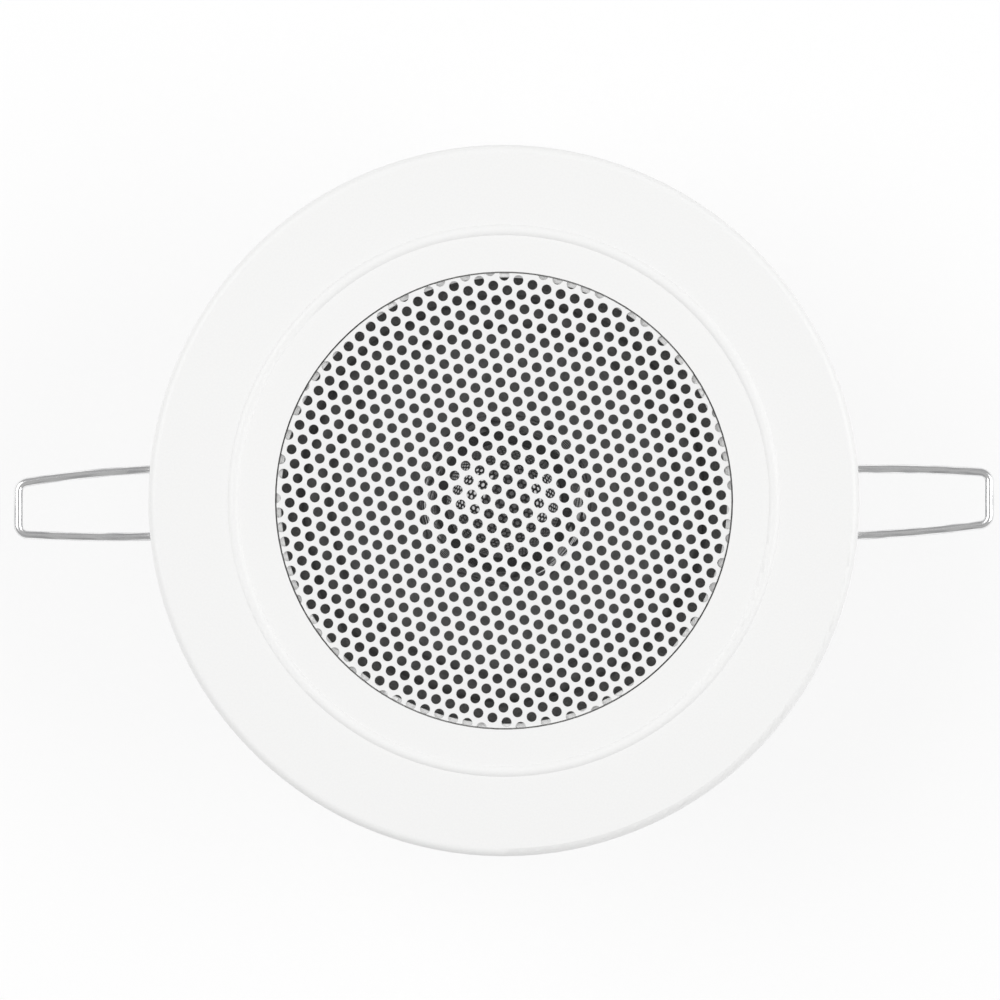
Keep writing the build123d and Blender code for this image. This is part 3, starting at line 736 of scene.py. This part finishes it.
def loop_of_wire(tip_left, tip_right, bow_left, bow_right):
    """The clip's loop from coil to coil, bent round its corners."""
    corners = [
        Vector((0.0, arm_spacing / 2)),
        Vector((stub_x, stub_y)),
        Vector((tip_x, tip_left)),
        Vector((tip_x, -tip_right)),
        Vector((stub_x, -stub_y)),
        Vector((0.0, -arm_spacing / 2)),
    ]
    bows = (0.0, bow_left, 0.0, bow_right, 0.0)
    radii = (stub_bend_radius, tip_corner_radius, tip_corner_radius, stub_bend_radius)
    legs = [bowed_leg(start, end, bow) for start, end, bow in zip(corners, corners[1:], bows)]
    flat = []
    for n, radius in enumerate(radii):
        legs[n], arc, legs[n + 1] = rounded(legs[n], legs[n + 1], radius)
        flat += legs[n] + arc
    flat += legs[-1]
    rise = math.sin(arm_slope)
    run = math.cos(arm_slope)
    return [Vector((arm_start_x + p.x * run, p.y, arm_start_z + p.x * rise)) for p in flat]


coil_path = []
half_turns = 2 * coil_turns
for n in range(half_turns + 1):
    over = 1 if n % 2 == 0 else -1
    sweep = math.pi if n < half_turns else last_arc
    steps = half_turn_steps if n < half_turns else half_turn_steps // 2
    for k in range(steps):
        angle = sweep * k / steps
        across = pivot_x - over * coil_radius * math.cos(angle)
        along = coil_start_y - n * coil_pitch / 2 - coil_pitch / 4 * (1 - math.cos(angle))
        coil_path.append(Vector((across, along, pivot_z + over * half_turn_radius * math.sin(angle))))
tail_path = [coil_path[0] + Vector((0, 0, -tail_length * (1 - n / tail_steps))) for n in range(tail_steps)]
near_side = tail_path + coil_path
far_side = [Vector((p.x, -p.y, p.z)) for p in reversed(near_side)]


def drawn_wire_finish(name, dark, light, rough):
    """Bright wire with the fine lengthwise scratches that the drawing die leaves, duller where they are deep."""
    finish, tree = new_finish(name, metal=1.0)
    scratch = noise_pattern(tree, "UV", (1 / scratch_width, 1 / scratch_length, 1.0), detail=3.0)
    tint_by(tree, scratch, dark, light, scratch_deep, scratch_shallow)
    roughen_by(tree, scratch, rough, scratch_deep, scratch_shallow)
    return finish


def lay_along_wire(piece, path, sides, radius):
    """Gives a wire its round and lengthwise measures in metres, for the scratches to follow."""
    reach = [0.0]
    for before, after in zip(path, path[1:]):
        reach.append(reach[-1] + (after - before).length)
    measures = piece.data.uv_layers.new(name="along_wire").data
    for face in piece.data.polygons:
        if len(face.vertices) > 4:
            continue
        steps_round = [corner % sides for corner in face.vertices]
        seam = min(steps_round) == 0 and max(steps_round) == sides - 1
        for loop in face.loop_indices:
            corner = piece.data.loops[loop].vertex_index
            step = corner % sides
            if seam and step == 0:
                step = sides
            measures[loop].uv = (2 * math.pi * radius * step / sides, reach[corner // sides])


scratch_width = 0.00028
scratch_length = 0.0060
scratch_deep = 0.40
scratch_shallow = 0.56
steel_dark = (0.63, 0.63, 0.64)
steel_light = (0.98, 0.98, 0.98)
polished_wire = drawn_wire_finish("polished_spring_wire", steel_dark, steel_light, rough=(0.34, 0.16))
right_loop = loop_of_wire(tip_left=0.00642, tip_right=0.00390, bow_left=0.00072, bow_right=0.00064)
left_loop = loop_of_wire(tip_left=0.00680, tip_right=0.00349, bow_left=0.00067, bow_right=0.00083)
right_slide = -0.0008
left_slide = 0.0
clips = (("right", 1, right_slide, right_loop), ("left", -1, left_slide, left_loop))
for side_name, turn, slide, loop_path in clips:
    path = [Vector((p.x * turn, p.y * turn + slide, p.z)) for p in near_side + loop_path + far_side]
    points, faces, along = wire_skin(path, wire_radius, wire_sides)
    clip = new_piece(side_name + "_clip_wire", points, faces, polished_wire, sharp_angle=50)
    lay_along_wire(clip, path, wire_sides, wire_radius)
    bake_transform(clip)
    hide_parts(side_name + "_spring_clip")


# Studio: a white sheet of paper under the speaker, two softboxes to the left and right, and grey walls.
# The speaker lies on its magnet and is photographed from straight above.
floor_level = -0.0560
floor_half = 20.0
paper_wash = 0.82
paper_white = (0.975, 0.975, 0.975)
floor_mesh = bpy.data.meshes.new("paper_floor")
floor_signs = [(-1, -1), (1, -1), (1, 1), (-1, 1)]
floor_points = [(x * floor_half, y * floor_half, floor_level) for x, y in floor_signs]
floor_mesh.from_pydata(floor_points, [], [(0, 1, 2, 3)])
paper, paper_tree = new_finish("white_paper")
paper_shader = paper_tree.nodes["Principled BSDF"]
paper_shader.inputs["Base Color"].default_value = (*paper_white, 1.0)
paper_shader.inputs["Roughness"].default_value = 1.0
paper_shader.inputs["Specular IOR Level"].default_value = 0.0
seen_white = paper_tree.nodes.new("ShaderNodeEmission")
washed = paper_tree.nodes.new("ShaderNodeMixShader")
washed.inputs["Fac"].default_value = paper_wash
paper_tree.links.new(paper_shader.outputs["BSDF"], washed.inputs[1])
paper_tree.links.new(seen_white.outputs["Emission"], washed.inputs[2])
ray = paper_tree.nodes.new("ShaderNodeLightPath")
seen = ray.outputs["Is Camera Ray"]
for kind in ("Is Glossy Ray", "Is Transmission Ray"):
    either = paper_tree.nodes.new("ShaderNodeMath")
    either.operation = "MAXIMUM"
    paper_tree.links.new(seen, either.inputs[0])
    paper_tree.links.new(ray.outputs[kind], either.inputs[1])
    seen = either.outputs["Value"]
choice = paper_tree.nodes.new("ShaderNodeMixShader")
paper_tree.links.new(seen, choice.inputs["Fac"])
paper_tree.links.new(paper_shader.outputs["BSDF"], choice.inputs[1])
paper_tree.links.new(washed.outputs["Shader"], choice.inputs[2])
paper_tree.links.new(choice.outputs["Shader"], paper_tree.nodes["Material Output"].inputs["Surface"])
floor_mesh.materials.append(paper)
floor = bpy.data.objects.new("paper_floor", floor_mesh)
bpy.context.scene.collection.objects.link(floor)

softbox_places = [(-1.46, 0.52, 1.70), (1.77, 0.12, 1.48)]
softbox_side = 1.86
softbox_watts = 27.7
for place in softbox_places:
    light = bpy.data.lights.new("softbox", "AREA")
    light.shape = "SQUARE"
    light.size = softbox_side
    light.energy = softbox_watts
    softbox = bpy.data.objects.new("softbox", light)
    softbox.location = place
    softbox.rotation_euler = (-softbox.location).to_track_quat("-Z", "Y").to_euler()
    bpy.context.scene.collection.objects.link(softbox)

wall_grey = (0.42, 0.42, 0.42)
walls = bpy.data.worlds.new("grey_walls")
walls.use_nodes = True
walls.node_tree.nodes["Background"].inputs["Color"].default_value = (*wall_grey, 1.0)
bpy.context.scene.world = walls

camera_height = 3.0
camera_x = -0.000805
camera_y = 0.000121
flange_front = 0.0032
frame_width = 0.20233
sensor = 36.0
camera = bpy.data.objects.new("camera", bpy.data.cameras.new("camera"))
camera.data.sensor_width = sensor
camera.data.lens = sensor * camera_height / frame_width
camera.location = (camera_x, camera_y, flange_front + camera_height)
bpy.context.scene.collection.objects.link(camera)
bpy.context.scene.camera = camera
bpy.context.scene.view_settings.view_transform = "Standard"
